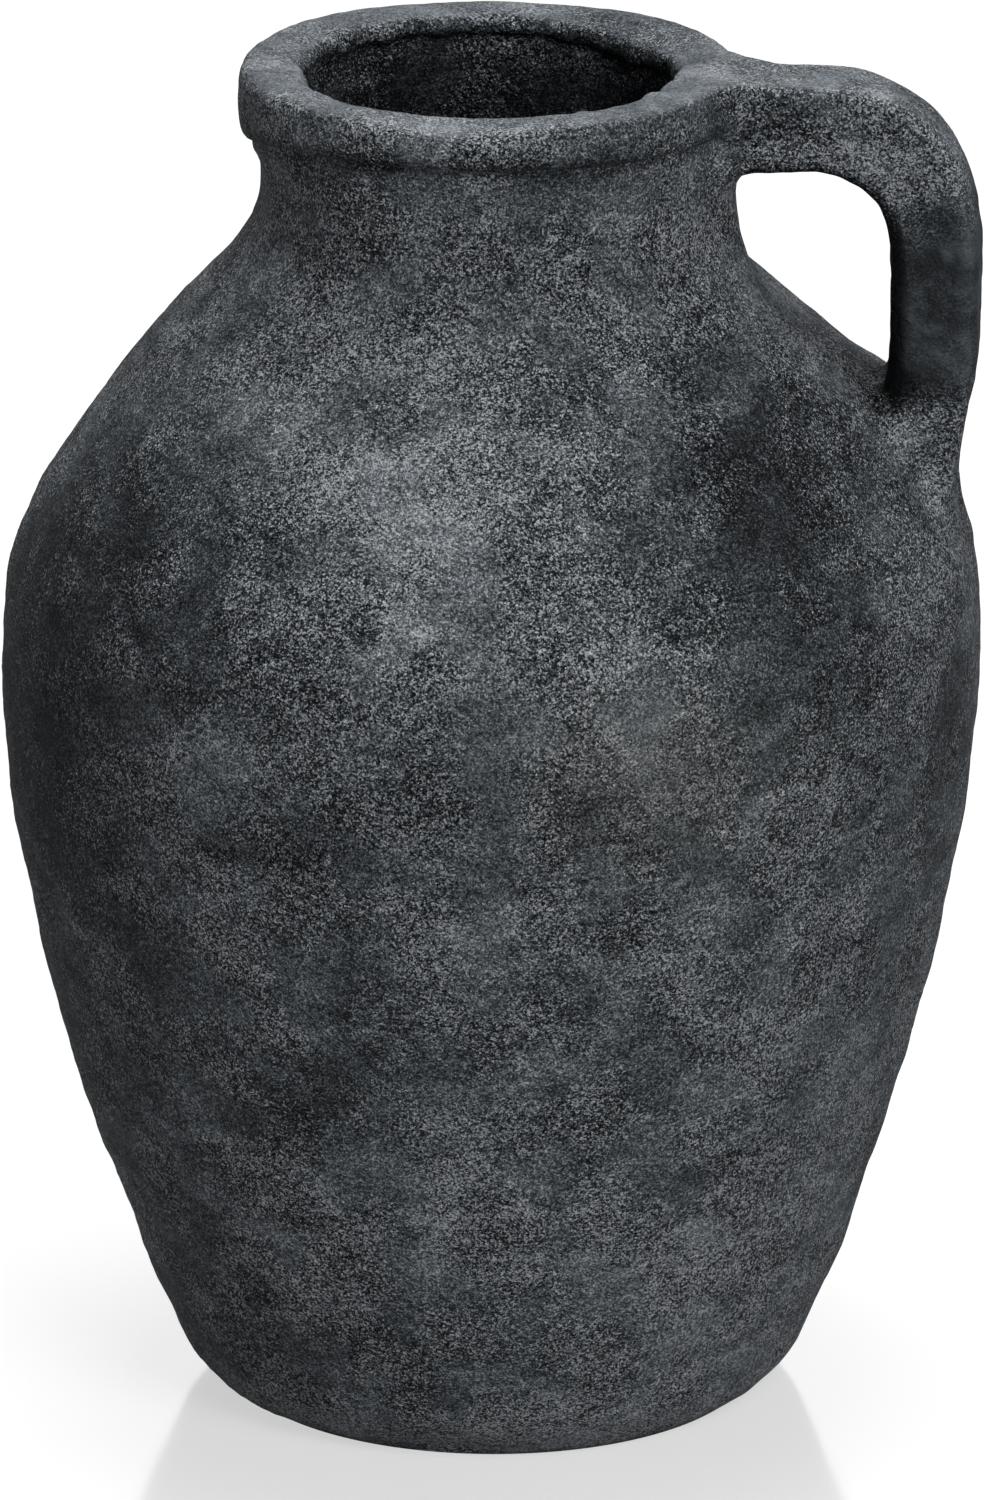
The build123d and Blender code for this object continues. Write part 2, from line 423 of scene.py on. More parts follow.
# The collar's section, as radius and height: from the crease over the neck up the side,
# over the flat top, down the rough bevel of the mouth and under its ledge
COLLAR_SIDE = (
    *((44.6, 249.6), (45.5, 249.8), (46.4, 250.4), (46.95, 251.7), (47.1, 253.4)),
    *((47.15, 255.2), (47.0, 257.2)),
)
COLLAR_EDGE = ((46.7, 258.6), (46.1, 259.5), (45.1, 259.95))
COLLAR_TOP = ((43.5, 260.05), (41, 260.05), (38.5, 260.0), (36.7, 259.9))
COLLAR_MOUTH = ((35.7, 259.6), (35.1, 259), (34.85, 258.2), (34.7, 257.2), (34.6, 256.6))
COLLAR_UNDER = ((35.2, 256.3), (36.0, 255.8), (36.4, 254.4), (36.2, 252), (35.9, 249.6))
COLLAR_OUTSIDE = COLLAR_SIDE + COLLAR_EDGE + COLLAR_TOP
COLLAR_STEP = 0.7

# The mouth's bevel is torn, clear of the seam. The flat top and the ledge inside are
# calmer than the side.
BEVEL_TORN = 0.4
BEVEL_RADII = (36.8, 34.8)
BEVEL_HEIGHTS = (COLLAR_SEAM, COLLAR_SEAM + 2)
CALMER = 0.4
CALM_TOP = (258, RIM_HEIGHT)
CALM_LEDGE = (254, 250)
LEDGE_RADIUS = 40


def finer(points, step):
    """The same line with points no further apart than step."""
    line = [np.array(points[0], float)]
    for point in points[1:]:
        start, point = line[-1], np.array(point, float)
        parts = max(1, int(np.ceil(np.linalg.norm(point - start) / step)))
        line += [start + (point - start) * part / parts for part in range(1, parts + 1)]
    return np.array(line)


def rounded(line, times=2):
    """A line with its corners softened."""
    for _ in range(times):
        inner = (line[:-2] + 2 * line[1:-1] + line[2:]) / 4
        line = np.vstack([line[:1], inner, line[-1:]])
    return line


def collar_section():
    """The rim collar's section, which closes along its seam with the neck."""
    line = rounded(finer(COLLAR_OUTSIDE + COLLAR_MOUTH + COLLAR_UNDER, COLLAR_STEP))
    along = np.gradient(line, axis=0)
    facing = np.column_stack([along[:, 1], -along[:, 0]])
    facing[0] = (1, -float(wall_slope(COLLAR_SEAM)))
    facing[-1] = (-1, 0)
    radii, heights = line.T
    torn = BEVEL_TORN * share_of(radii, *BEVEL_RADII) * share_of(heights, *BEVEL_HEIGHTS)
    ledge = (radii < LEDGE_RADIUS) * share_of(heights, *CALM_LEDGE)
    calm = CALMER * np.maximum(share_of(heights, *CALM_TOP), ledge)
    return run(heights, radii, facing, 1 - calm, torn)


# The strap handle from inside the collar to inside the shoulder: X and Z of its middle
# line, half its thickness, half its width, and the round of its edges
STRAP = (
    (36, 250.9, 8.4, 9.4, 1.4),
    (47.5, 250.5, 8.5, 9.4, 1.4),
    (56, 250.3, 8.4, 9.3, 1.5),
    (63.9, 250.1, 8.4, 9.2, 1.8),
    (69.8, 249.0, 8.9, 9.2, 2.2),
    (75.6, 245.9, 9.0, 9.1, 2.6),
    (79.8, 241.5, 8.7, 9.0, 2.9),
    (82.5, 235.7, 8.5, 8.9, 3.1),
    (83.7, 229.9, 8.35, 8.8, 3.3),
    (84.0, 217.2, 8.3, 8.7, 3.5),
    (83.8, 207.2, 8.3, 8.6, 3.5),
    (82.7, 197.7, 8.2, 8.6, 3.5),
    (81.3, 189.5, 8.1, 8.6, 3.4),
    (79.8, 181.5, 8.0, 8.6, 3.2),
    (77.8, 172, 7.9, 8.6, 3.2),
    (75, 162, 7.9, 8.6, 3.2),
)

# The points of the middle line, the stride between those with a ring of the rough tube,
# the rings of the mesh, the columns on a flat side, and how far the ends are buried
STRAP_POINTS = 600
TUBE_STRIDE = 2
STRAP_ROWS = 150
FLAT_COLUMNS = 10
BURIED = 2.6
# The rings at the tube's ends that are left out, and the least change of depth per ring
TUBE_MARGIN = 3
LEAST_CHANGE = 0.01
# The search for the nearest place along the strap: the stride tried, then the passes
SEARCH_STRIDE = 3
SEARCH_PASSES = 3


def strap_path():
    """Middle points, ways out, half thicknesses, half widths and edge rounds."""
    columns = np.array(STRAP, float).T
    place = np.concatenate([[0], np.cumsum(np.hypot(*np.diff(columns[:2])))])
    at = np.linspace(0, place[-1], STRAP_POINTS)
    curves = [steady_curve(place, column)[0](at) for column in columns]
    middle = np.column_stack(curves[:2])
    along = np.gradient(middle, axis=0)
    along /= np.linalg.norm(along, axis=1)[:, None]
    out = np.column_stack([-along[:, 1], along[:, 0]])
    return middle, out, *curves[2:]


strap_middle, strap_out, strap_half, strap_side, strap_edge = strap_path()

# The grid of distances from the jug's outside, in radius and height, and the steps of the
# line that they are measured from
FIELD_LOW = (20.0, 130.0)
FIELD_SIZE = (90.0, 150.0)
FIELD_CELL = 0.4
FIELD_WALL_FROM = 120
FIELD_WALL_STEP = 1
FIELD_COLLAR_STEP = 0.8
FAR = 1e9


def distance_field(line):
    """Signed distances from a line, positive on its right, looked up on a fine grid."""
    counts = [int(size / FIELD_CELL) + 1 for size in FIELD_SIZE]
    axes = [low + np.arange(n) * FIELD_CELL for low, n in zip(FIELD_LOW, counts)]
    flat = np.stack(np.meshgrid(*axes, indexing="ij"), -1).reshape(-1, 2)
    best = np.full(len(flat), FAR)
    side = np.ones(len(flat))
    for start, end in zip(line[:-1], line[1:]):
        span = end - start
        offset = flat - start
        t = np.clip(offset @ span / max(span @ span, TINY), 0, 1)
        gap = offset - t[:, None] * span
        reach = (gap**2).sum(1)
        nearer = reach < best - TINY
        best[nearer] = reach[nearer]
        side[nearer] = (span[1] * offset[:, 0] - span[0] * offset[:, 1])[nearer]
    table = (np.sqrt(best) * np.where(side >= 0, 1, -1)).reshape(counts)

    def distance(flat):
        at = (flat - FIELD_LOW) / FIELD_CELL
        cell = np.clip(at.astype(int), 0, np.array(counts) - 2)
        u, v = (at - cell).T
        i, j = cell.T
        low = table[i, j] * (1 - u) + table[i + 1, j] * u
        high = table[i, j + 1] * (1 - u) + table[i + 1, j + 1] * u
        return low * (1 - v) + high * v

    return distance


# The jug's outside as one line, and the same with the collar's side carried straight up,
# so that its flat top can be cut afterwards
OPEN_FROM = 256
OPEN_RADIUS = 47.1
OPEN_TOP = 275
field_heights = steps(FIELD_WALL_FROM, COLLAR_SEAM, FIELD_WALL_STEP)
jug_line = np.vstack(
    [
        np.column_stack([wall_radius(field_heights), field_heights]),
        rounded(finer(COLLAR_OUTSIDE, FIELD_COLLAR_STEP))[1:],
    ]
)
open_line = np.vstack(
    [
        jug_line[jug_line[:, 1] < OPEN_FROM],
        [[OPEN_RADIUS, OPEN_FROM], [OPEN_RADIUS, OPEN_TOP]],
    ]
)
jug_distance = distance_field(jug_line)
open_distance = distance_field(open_line)


def jug_field(points, distance=jug_distance):
    """How far points are outside the jug's clay."""
    flat = np.column_stack([np.hypot(points[:, 0], points[:, 1]), points[:, 2]])
    return distance(flat) - unevenness(points)


def strap_frame(points):
    """The nearest place along the strap, and how far points are out from its middle."""
    index = np.empty(len(points), int)
    flat = points[:, [0, 2]]
    tried = strap_middle[None, ::SEARCH_STRIDE, :]
    for start in range(0, len(flat), STRAP_BATCH):
        part = slice(start, start + STRAP_BATCH)
        gap = flat[part][:, None, :] - tried
        index[part] = np.argmin((gap**2).sum(-1), axis=1) * SEARCH_STRIDE
    pace = np.linalg.norm(strap_middle[1] - strap_middle[0])
    for _ in range(SEARCH_PASSES):
        along = np.column_stack([strap_out[index, 1], -strap_out[index, 0]])
        step = ((flat - strap_middle[index]) * along).sum(1)
        index = index + np.round(step / pace).astype(int)
        index = np.clip(index, 0, len(strap_middle) - 1)
    return index, ((flat - strap_middle[index]) * strap_out[index]).sum(1)


def rounded_corner(across, beside, edge):
    """How far points are outside a bar, from how far they are past its edges' centres."""
    outside = np.hypot(np.maximum(across, 0), np.maximum(beside, 0))
    return outside + np.minimum(np.maximum(across, beside), 0) - edge


def strap_fields(points):
    """How far points are outside the strap, the same without its top, and over it."""
    index, out = strap_frame(points)
    half, wide, edge = strap_half[index], strap_side[index], strap_edge[index]
    bumps = strap_unevenness(points)
    across = np.abs(out) - (half - edge)
    beside = np.abs(points[:, 1]) - (wide - edge)
    closed = rounded_corner(across, beside, edge) - bumps
    topless = rounded_corner(np.where(out > 0, -half, across), beside, edge) - bumps
    return closed, topless, out - half - bumps


def strap_section(half, wide, edge):
    """Points round a rounded rectangle, each with the way it faces."""
    corner = np.linspace(0, pi / 2, CORNER_POINTS)
    points, facing = [], []
    for quarter, (ahead, aside) in enumerate(((1, 1), (-1, 1), (-1, -1), (1, -1))):
        turn = corner + quarter * pi / 2
        centre = np.array([(half - edge) * ahead, (wide - edge) * aside])
        way = np.column_stack([np.cos(turn), np.sin(turn)])
        points += list(centre + edge * way)
        facing += list(way)
    return np.array(points), np.array(facing)


def strap_ring(number):
    """One ring of points round the strap, whose flat sides are divided too."""
    corners, facing = strap_section(
        strap_half[number], strap_side[number], strap_edge[number]
    )
    points, ways = [], []
    for start in range(len(corners)):
        end = (start + 1) % len(corners)
        parts = 1 if (start + 1) % CORNER_POINTS else FLAT_COLUMNS
        for part in range(parts):
            share = part / parts
            points.append(corners[start] * (1 - share) + corners[end] * share)
            way = facing[start] * (1 - share) + facing[end] * share
            ways.append(way / np.linalg.norm(way))
    return np.array(points), np.array(ways)


def strap_tube():
    """Rings of points along the strap: an array of rings, columns and coordinates."""
    tube = []
    for number in range(0, len(strap_middle), TUBE_STRIDE):
        ring, ways = strap_ring(number)
        (x, z), out = strap_middle[number], strap_out[number]
        points = np.column_stack(
            [x + out[0] * ring[:, 0], ring[:, 1], z + out[1] * ring[:, 0]]
        )
        facing = np.column_stack([out[0] * ways[:, 0], ways[:, 1], out[1] * ways[:, 0]])
        tube.append(points + facing * strap_unevenness(points)[:, None])
    return np.stack(tube)


def make_handle():
    """The strap handle, whose ends stop inside the clay that carries them."""
    tube = strap_tube()
    rows, around = tube.shape[:2]
    depth = jug_field(tube.reshape(-1, 3)).reshape(rows, around)
    points = np.empty((STRAP_ROWS, around, 3))
    for line in range(around):
        free = np.nonzero(depth[:, line] > -BURIED)[0]
        free = free[(free >= TUBE_MARGIN) & (free < rows - TUBE_MARGIN)]
        ends = []
        for row, step in ((free[0], -1), (free[-1], 1)):
            change = max(depth[row, line] - depth[row + step, line], LEAST_CHANGE)
            ends.append(row + step * np.clip((depth[row, line] + BURIED) / change, 0, 1))
        at = np.linspace(*ends, STRAP_ROWS)
        for axis in range(3):
            points[:, line, axis] = np.interp(at, np.arange(rows), tube[:, line, axis])
    faces = []
    column = np.arange(around)
    after = (column + 1) % around
    for row in range(STRAP_ROWS - 1):
        low, high = row * around, (row + 1) * around
        corners = [low + column, high + column, high + after, low + after]
        faces += np.column_stack(corners).tolist()
    last = (STRAP_ROWS - 1) * around
    faces += [column.tolist(), (last + column[::-1]).tolist()]
    return new_piece("handle", settled(points.reshape(-1, 3)), faces)


# Clay worked in round the ends of the handle, meshed as the skin of a blended solid: the
# mesh's cell, and how its points are moved on to the surface. The step and the move are in
# cells, and the slope is squared.
LUTING_CELL = 0.8
SURFACE_PASSES = 3
SLOPE_STEP = 0.1
FURTHEST_MOVE = 0.4
LEAST_SLOPE = 0.2


def soft_least(a, b, reach):
    """The smaller of two distances, blended where they are within reach of each other."""
    share = np.clip(0.5 + 0.5 * (b - a) / reach, 0, 1)
    return b * (1 - share) + a * share - reach * share * (1 - share)


def soft_most(a, b, reach):
    """The larger of two distances, blended where they are within reach of each other."""
    return -soft_least(-a, -b, reach)


def edge_ends(values, axis):
    """The values at the first and second ends of the grid's edges along an axis."""
    first, second = [slice(None)] * 3, [slice(None)] * 3
    first[axis], second[axis] = slice(0, -1), slice(1, None)
    return values[tuple(first)], values[tuple(second)]


def cell_points(grid, value):
    """A point in each cell that the surface crosses, and each cell's number or -1."""
    cells = tuple(size - 1 for size in value.shape)
    total, count = np.zeros(cells + (3,)), np.zeros(cells)
    for axis in range(3):
        a, b = edge_ends(value, axis)
        crossed = (a < 0) != (b < 0)
        share = np.where(crossed, a / np.where(crossed, a - b, 1), 0)
        point = edge_ends(grid, axis)[0].copy()
        point[..., axis] += share * LUTING_CELL
        others = [number for number in range(3) if number != axis]
        for starts in np.ndindex(2, 2):
            pick = [slice(None)] * 3
            for other, start in zip(others, starts):
                pick[other] = slice(start, start + cells[other])
            hit = crossed[tuple(pick)]
            total += point[tuple(pick)] * hit[..., None]
            count += hit
    used = count > 0
    number = np.full(cells, -1)
    number[used] = np.arange(used.sum())
    return total[used] / count[used][:, None], number


def cell_faces(inside, number):
    """A face through the points of the four cells round each edge that is crossed."""
    faces = []
    for axis in range(3):
        a, b = edge_ends(inside, axis)
        place = np.argwhere(a != b)
        leaving = a[tuple(place.T)]
        corners = []
        for back in ((1, 1), (0, 1), (0, 0), (1, 0)):
            corner = place.copy()
            corner[:, (axis + 1) % 3] -= back[0]
            corner[:, (axis + 2) % 3] -= back[1]
            corners.append(number[tuple(corner.T)])
        quad = np.column_stack(corners)
        quad[~leaving] = quad[~leaving][:, ::-1]
        faces.append(quad)
    return np.vstack(faces)


def on_surface(points, field):
    """Points moved on to the surface where field is 0."""
    step = LUTING_CELL * SLOPE_STEP
    for _ in range(SURFACE_PASSES):
        here = field(points)
        slope = [(field(points + step * unit) - here) / step for unit in np.eye(3)]
        slope = np.stack(slope, -1)
        steepness = np.maximum((slope**2).sum(1), LEAST_SLOPE)
        move = here[:, None] * slope / steepness[:, None]
        size = np.maximum(np.linalg.norm(move, axis=1), TINY)[:, None]
        points = points - move * np.minimum(1, FURTHEST_MOVE * LUTING_CELL / size)
    return points


def skin_of(field, low, high):
    """Points and faces of the surface where field is 0, inside a box."""
    axes = [np.arange(a, b + LUTING_CELL, LUTING_CELL) for a, b in zip(low, high)]
    grid = np.stack(np.meshgrid(*axes, indexing="ij"), -1)
    value = field(grid.reshape(-1, 3)).reshape(grid.shape[:3])
    value[[0, -1]] = value[:, [0, -1]] = value[:, :, [0, -1]] = 1
    points, number = cell_points(grid, value)
    return on_surface(points, field), cell_faces(value < 0, number)


# How thick the skin lies over jug and strap, and how softly each form runs into the next
SKIN = 0.07
PLATE_BLEND = 9.0
ROOT_BLEND = 5.5
FIN_BLEND = 9.5
TAIL_BLEND = 6.0
TOP_BLEND = 1.2

# The fin under the arch: half its width, which grows upwards, its face, which leans and
# then flares, the round of its edges, how far its foot sinks in, and its ends. Other pairs
# say where a change starts and where it is full.
FIN_HALF = 4.6
FIN_WIDER = 1.2
FIN_WIDENS = (228, 242)
FIN_FACE = 43.7
FIN_FACE_HEIGHT = 230
FIN_LEAN = 0.04
FIN_FLARE = 0.5
FIN_FLARES = (236, 244)
FIN_ROUND = 3
FIN_SINK = 2.5
FIN_SINKS = (215, 201)
FIN_ENDS = (205, 252)

# The root: the gap from the strap over which the collar's side opens upwards, the heights
# and sides where the plate's blend comes in, the X where its top passes over to the
# strap's, and the X and heights where the luting thins out
OPEN_GAPS = (5, 0.5)
PLATE_HEIGHTS = (249, 257)
PLATE_SIDES = (3, -5)
PLATE_OUTWARDS = (44, 57)
PLATE_TOP = COLLAR_TOP[0][1]
ROOT_FADES_OUTWARDS = (60, 70)
ROOT_FADES_DOWN = (214, 206)
ROOT_BOX = ((37, -24, 204), (75, 24, 262))

# The tail: how much crisper it runs in at the top and how much softer behind, and the
# heights where the luting thins out
TAIL_CRISPER = 0.2
TAIL_CRISP_HEIGHTS = (184, 204)
TAIL_SOFTER = 0.7
TAIL_SOFT_SIDES = (2, 9)
TAIL_FADES_UP = (204, 211)
TAIL_FADES_DOWN = (164, 157)
TAIL_BOX = ((60, -22, 152), (96, 22, 216))


def fin_field(points):
    """How far points are outside the fin that runs down the neck under the strap."""
    x, y, z = points.T
    half = FIN_HALF + FIN_WIDER * share_of(z, *FIN_WIDENS)
    face = FIN_FACE + FIN_LEAN * (z - FIN_FACE_HEIGHT)
    face += FIN_FLARE * share_of(z, *FIN_FLARES) ** 2
    face -= FIN_SINK * share_of(z, *FIN_SINKS)
    across = np.hypot(x, y) - (face - FIN_ROUND)
    body = rounded_corner(across, np.abs(y) - (half - FIN_ROUND), FIN_ROUND)
    bottom, top = FIN_ENDS
    return np.maximum(body, np.maximum(bottom - z, z - top))


def upper_luting_field(points):
    """The clay round the root: plate, valley, fin and the skin under the arch."""
    x, y, z = points.T
    strap, open_strap, over_strap = strap_fields(points)
    closed_jug = jug_field(points)
    near = eased(open_strap, *OPEN_GAPS)
    jug = closed_jug * (1 - near) + jug_field(points, open_distance) * near
    plate = eased(z, *PLATE_HEIGHTS) * eased(y, *PLATE_SIDES)
    blend = soft_least(jug, open_strap, ROOT_BLEND + (PLATE_BLEND - ROOT_BLEND) * plate)
    blend = soft_least(blend, fin_field(points), FIN_BLEND)
    outwards = eased(x, *PLATE_OUTWARDS)
    over_collar = z - PLATE_TOP - (1 - CALMER) * unevenness(points)
    over = over_collar * (1 - outwards) + over_strap * outwards
    blend = soft_most(blend, over, TOP_BLEND * (1 + outwards))
    fade = eased(x, *ROOT_FADES_OUTWARDS) + eased(z, *ROOT_FADES_DOWN)
    hollow = -np.minimum(closed_jug, strap) - BURIED
    return np.maximum(blend + SKIN + fade, hollow)


def lower_luting_field(points):
    """The clay smoothed on to the shoulder round the handle's tail."""
    x, y, z = points.T
    jug, strap = jug_field(points), strap_fields(points)[0]
    reach = TAIL_BLEND * (1 - TAIL_CRISPER * eased(z, *TAIL_CRISP_HEIGHTS))
    reach *= 1 + TAIL_SOFTER * eased(y, *TAIL_SOFT_SIDES)
    blend = soft_least(jug, strap, reach)
    fade = eased(z, *TAIL_FADES_UP) + eased(z, *TAIL_FADES_DOWN)
    hollow = -np.minimum(jug, strap) - BURIED
    return np.maximum(blend + SKIN + fade, hollow)


def make_lutings():
    """Both pieces of clay round the ends of the handle."""
    pieces = {}
    for name, field, box in (
        ("upper_handle_luting", upper_luting_field, ROOT_BOX),
        ("lower_handle_luting", lower_luting_field, TAIL_BOX),
    ):
        points, faces = skin_of(field, *box)
        pieces[name] = new_piece(name, settled(points), faces.tolist())
    return pieces


# Marks laid on the clay in code: places that are paler or darker than the rest, as turn,
# height, half width, half height and strength. The dark places on the left flank, at turns
# -145 and -165, are painted shade on the side turned away from the key light.
CLOUDS_AND_SHADE = (
    (-98, 192, 30, 17, 0.65),
    (-120, 196, 16, 10, 0.2),
    (-82, 174, 28, 13, -0.15),
    (-108, 170, 26, 14, -0.5),
    (-97, 138, 34, 14, -0.45),
    (-56, 186, 18, 22, -0.7),
    (-38, 192, 24, 28, -1.5),
    (-24, 170, 14, 10, 0.15),
    (-16, 145, 18, 30, -0.6),
    # Painted shade on the left flank, away from the key light
    (-145, 152, 24, 34, -1.4),
    (-165, 115, 26, 60, -1.4),
    (-130, 186, 20, 16, -0.5),
    (-150, 205, 18, 14, 0.1),
    (-130, 96, 22, 26, -0.75),
    (-112, 78, 18, 12, -0.35),
    (-92, 100, 24, 18, 0.15),
    (-104, 48, 20, 20, 0.3),
    (-62, 92, 22, 22, -0.1),
    (-62, 50, 22, 26, 0.6),
    (-90, 4, 70, 8, 1.1),
    (-130, 40, 20, 24, -0.55),
    (-128, 234, 16, 12, -0.4),
    (-86, 234, 18, 8, 0.25),
    (-55, 232, 16, 12, 0.1),
    (40, 120, 40, 40, 0.3),
    (95, 180, 40, 26, 0.4),
    (70, 60, 30, 30, -0.3),
    (120, 90, 44, 30, -0.4),
    (170, 60, 30, 30, 0.2),
)

# Smears and hollows left by the fingers round the handle: place, radius and strength. The
# first two are painted highlights on the plate and on the fin. The dark marks at (76, -8,
# 201) and (80, -9, 186), in the crease between strap and shoulder, and at (43, -17, 256),
# in the valley beside the collar, are painted shade.
SMEARS_AND_PAINTED_LIGHT = (
    # Painted highlights on the plate and on the fin
    (44.4, -13, 250, 4.5, 0.8),
    (44, -5, 239, 6, 0.5),
    (57, -10, 254, 5, -0.2),
    # Painted shade in the crease between the strap and the shoulder
    (76, -8, 201, 4.5, -2.2),
    (72, -9, 202, 3, 1.2),
    (82.5, -9, 194.5, 4, 1.3),
    (76, -10, 190, 4, 1.1),
    (84.5, -9, 183, 3.5, 1.2),
    (66, -9, 250, 9, 0.85),
    (77, -9, 242, 7, 0.6),
    (41, -3, 260, 8, 0.4),
    (60, 0, 260, 11, -0.35),
    (79, 0, 257, 8, -0.3),
    # Painted shade in the valley beside the collar
    (43, -17, 256, 3.5, -0.5),
    # Painted shade in the crease between the strap and the shoulder
    (80, -9, 186, 3, -0.5),
)

# A smoother patch at the front right, outside a radius, where a painted highlight makes
# the clay paler and warmer
BUFFED_AND_HIGHLIT = (-66, 147, 24, 17)
BUFFED_AND_HIGHLIT_RADIUS = 44

# Level tops, smoother from wear and paler partly from wear and partly as painted light
# from above, darker clay in the mouth and behind the wall, and the smooth face of the
# strap, in pairs as above. Facing is how far the clay faces up, from -1 to 1.
WORN_AND_TOP_LIT_FACING = (0.7, 0.93)
WORN_AND_TOP_LIT_HEIGHTS = (244, 250)
DARK_INSIDE_RADII = (37.7, 35)
DARK_INSIDE_HEIGHTS = (259, 256)
DARK_INSIDE_FROM = FLOOR_TOP - 1
DARK_INSIDE_DEPTH = 3.5
DARK_INSIDE_TOP = 248
SLICK_PIECES = ("handle", "lower_handle_luting")
SLICK_RADII = (74, 78)
SLICK_HEIGHTS = (192, 206)
SLICK_ENDS = (242, 226)

# Painted shade darkens the crease under the collar and the underside of the handle's arch,
# and a painted highlight runs along the arch's outer front edge. The arch faces away from
# its middle, given as X and Z.
CREASE_SHADE = 1.1
CREASE_LIFT = 0.7
CREASE_HEIGHT = 2.4
CREASE_RADIUS = 43.5
CREASE_FACING = (0.6, -0.1)
ARCH_MIDDLE = (62, 224)
ARCH_SHADE = 2.2
ARCH_FACING = (0.05, -0.42)
EDGE_HIGHLIGHT = 0.45
EDGE_FACING = 0.45
EDGE_SPREAD = 0.16


def paleness_and_painted_light(name, points, facing):
    """How much paler than the rest the clay is at each point, or darker below 0, with
    painted shade on the left flank, in the crease under the collar, in hollows round the
    handle and under its arch, and painted highlights on the plate, the fin and the arch's
    edge.
    """
    x, y, z = points.T
    around, angle = np.hypot(x, y), np.arctan2(y, x)
    pale_and_painted_light = np.zeros(len(points))
    for *place, strength in CLOUDS_AND_SHADE:
        pale_and_painted_light += strength * patch(angle, around, z, *place)
    for *place, radius, strength in SMEARS_AND_PAINTED_LIGHT:
        pale_and_painted_light += strength * np.exp(-((np.array(place) - points) ** 2).sum(1) / radius**2)
    # Painted shade in the crease under the collar's overhang
    crease = bell(z + foot_drop(angle), COLLAR_SEAM + CREASE_LIFT, CREASE_HEIGHT)
    crease *= (around > CREASE_RADIUS) * eased(facing[:, 2], *CREASE_FACING)
    pale_and_painted_light -= CREASE_SHADE * crease
    if name == "handle":
        outwards = points[:, [0, 2]] - ARCH_MIDDLE
        outwards /= np.linalg.norm(outwards, axis=1)[:, None]
        turned_out = (outwards * facing[:, [0, 2]]).sum(1)
        # Painted shade on the underside of the arch, which faces its middle
        pale_and_painted_light -= ARCH_SHADE * eased(turned_out, *ARCH_FACING)
        # A painted highlight along the arch's outer front edge
        edge = bell(turned_out, EDGE_FACING, EDGE_SPREAD) * (facing[:, 1] < 0)
        pale_and_painted_light += EDGE_HIGHLIGHT * edge
    return pale_and_painted_light


def paint(mesh, name):
    """Stores on each point how worn and painted lit from above, how dark inside, how
    slick, how buffed and painted highlit, and how pale its clay is, painted light and
    shade included.
    """
    count = len(mesh.vertices)
    points, facing = np.empty(count * 3), np.empty(count * 3)
    mesh.vertices.foreach_get("co", points)
    mesh.vertices.foreach_get("normal", facing)
    points, facing = points.reshape(-1, 3) / MM, facing.reshape(-1, 3)
    x, y, z = points.T
    around, angle = np.hypot(x, y), np.arctan2(y, x)
    # Darker clay below the mouth's edge and on every face behind the wall
    mouth = eased(around, *DARK_INSIDE_RADII) * eased(z, *DARK_INSIDE_HEIGHTS) * (z > DARK_INSIDE_FROM)
    behind = (around < wall_radius(z) - DARK_INSIDE_DEPTH) & (z < DARK_INSIDE_TOP)
    slick = eased(around, *SLICK_RADII) * eased(z, *SLICK_HEIGHTS) * eased(z, *SLICK_ENDS)
    layers = {
        # Upward-facing tops: worn smooth, and paler partly as painted light from above
        "worn_and_top_lit": eased(facing[:, 2], *WORN_AND_TOP_LIT_FACING) * eased(z, *WORN_AND_TOP_LIT_HEIGHTS),
        "dark_inside": np.maximum(mouth, behind),
        "slick": slick * (name in SLICK_PIECES),
        # Smoother clay at the front right, with a painted highlight
        "buffed_and_highlit": patch(angle, around, z, *BUFFED_AND_HIGHLIT) * (around > BUFFED_AND_HIGHLIT_RADIUS),
        "pale_and_painted_light": paleness_and_painted_light(name, points, facing),
    }
    for key, values in layers.items():
        layer = mesh.attributes.new(key, "FLOAT", "POINT")
        layer.data.foreach_set("value", values.astype(np.float32))


# Materials

WHITE = (1.0, 1.0, 1.0, 1.0)

# The clay's colour from dark to pale, as place and colour, and where its middle tone lies
TONES = (
    (0.0, (0.0028, 0.003, 0.0034)),
    (0.2, (0.0078, 0.0088, 0.0099)),
    (0.4, (0.0222, 0.0251, 0.0278)),
    (0.6, (0.064, 0.0722, 0.0797)),
    (0.8, (0.158, 0.174, 0.19)),
    (1.0, (0.36, 0.375, 0.395)),
)
TONE_MIDDLE = 0.612
TONE_SCALE = 0.19
# The warm tint of the painted highlight on the buffed patch, and how much of it is used
HIGHLIGHT_TINT = (1.05, 1.01, 0.94, 1.0)
HIGHLIGHT_TINT_SHARE = 0.9

# How strong the small marks are: the change where the clay is smooth, and the least and
# the gain where it is rough
SMOOTH_CALM = -0.8
ROUGH_CALM = (0.65, 0.7)
SMOOTH_SHARE = 0.6
# How the wiped patterns are pressed together, and the height of wrinkles and bumps
WIPED = (1, 1, 1.7)
WRINKLE_DRIFT = 7 * MM
BUMP_HEIGHT = 1 * MM


